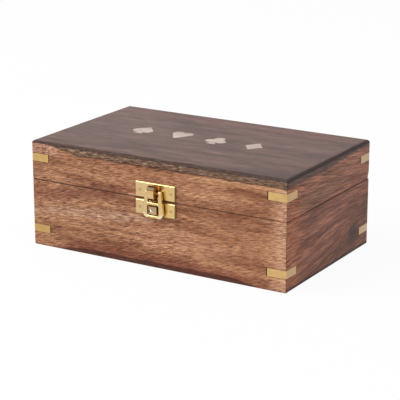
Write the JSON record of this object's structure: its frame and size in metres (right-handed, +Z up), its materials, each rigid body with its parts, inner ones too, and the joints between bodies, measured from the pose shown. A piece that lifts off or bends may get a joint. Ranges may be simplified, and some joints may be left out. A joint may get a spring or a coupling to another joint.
{
  "type": "poker card box",
  "caption": "Wooden card box with a hinged lid, brass corner inlays, a swinging brass latch and suit pips inlaid in the top; wells for cards and a slot for dice inside.",
  "frame": {"origin": "centre of the underside, in the plane that the box stands on", "axes": "+X to the right along the length, +Y from the latch side to the hinges, +Z up"},
  "size_m": [0.18, 0.1167, 0.068],
  "materials": {
    "wall_wood": "satin oiled",
    "top_wood": "satin oiled, dark",
    "divider_wood": "satin",
    "pale_inlay": "pale, rubbed flush",
    "inlay_brass": "brushed flush",
    "latch_brass": "satin lacquered",
    "lining_felt": "short felt"
  },
  "bodies": {
    "base": {"bottom_board": "wall_wood", "base_front_wall": "wall_wood", "base_right_wall": "wall_wood", "base_back_wall": "wall_wood", "base_left_wall": "wall_wood", "base_front_left_inlay": "inlay_brass", "base_front_right_inlay": "inlay_brass", "base_back_right_inlay": "inlay_brass", "base_back_left_inlay": "inlay_brass", "left_divider": "divider_wood", "right_divider": "divider_wood", "left_well_pad": "lining_felt", "dice_slot_pad": "lining_felt", "right_well_pad": "lining_felt", "left_hinge_base_leaf": "latch_brass", "right_hinge_base_leaf": "latch_brass", "left_hinge_pin": "latch_brass", "right_hinge_pin": "latch_brass", "base_hinge_screws": "latch_brass", "latch_lower_plate": "latch_brass", "latch_stud": "latch_brass", "latch_lower_pins": "latch_brass"},
    "lid": {"top_board": "top_wood", "lid_front_wall": "wall_wood", "lid_right_wall": "wall_wood", "lid_back_wall": "wall_wood", "lid_left_wall": "wall_wood", "lid_front_left_inlay": "inlay_brass", "lid_front_right_inlay": "inlay_brass", "lid_back_right_inlay": "inlay_brass", "lid_back_left_inlay": "inlay_brass", "spade_inlay": "pale_inlay", "heart_inlay": "pale_inlay", "club_inlay": "pale_inlay", "diamond_inlay": "pale_inlay", "lid_lining": "lining_felt", "left_hinge_lid_leaf": "latch_brass", "right_hinge_lid_leaf": "latch_brass", "lid_hinge_screws": "latch_brass", "latch_upper_plate": "latch_brass", "latch_upper_pins": "latch_brass"},
    "bail": {"latch_bail": "latch_brass"}
  },
  "joints": [
    {"name": "lid_hinge", "type": "hinge", "parent": "base", "child": "lid", "pos_m": [0, 0.05315, 0.0429], "axis": [-1, 0, 0], "range_deg": [0, 100]},
    {"name": "bail_hinge", "type": "hinge", "parent": "lid", "child": "bail", "pos_m": [0.0015, -0.0575, 0.048], "axis": [-1, 0, 0], "range_deg": [0, 175]}
  ]
}
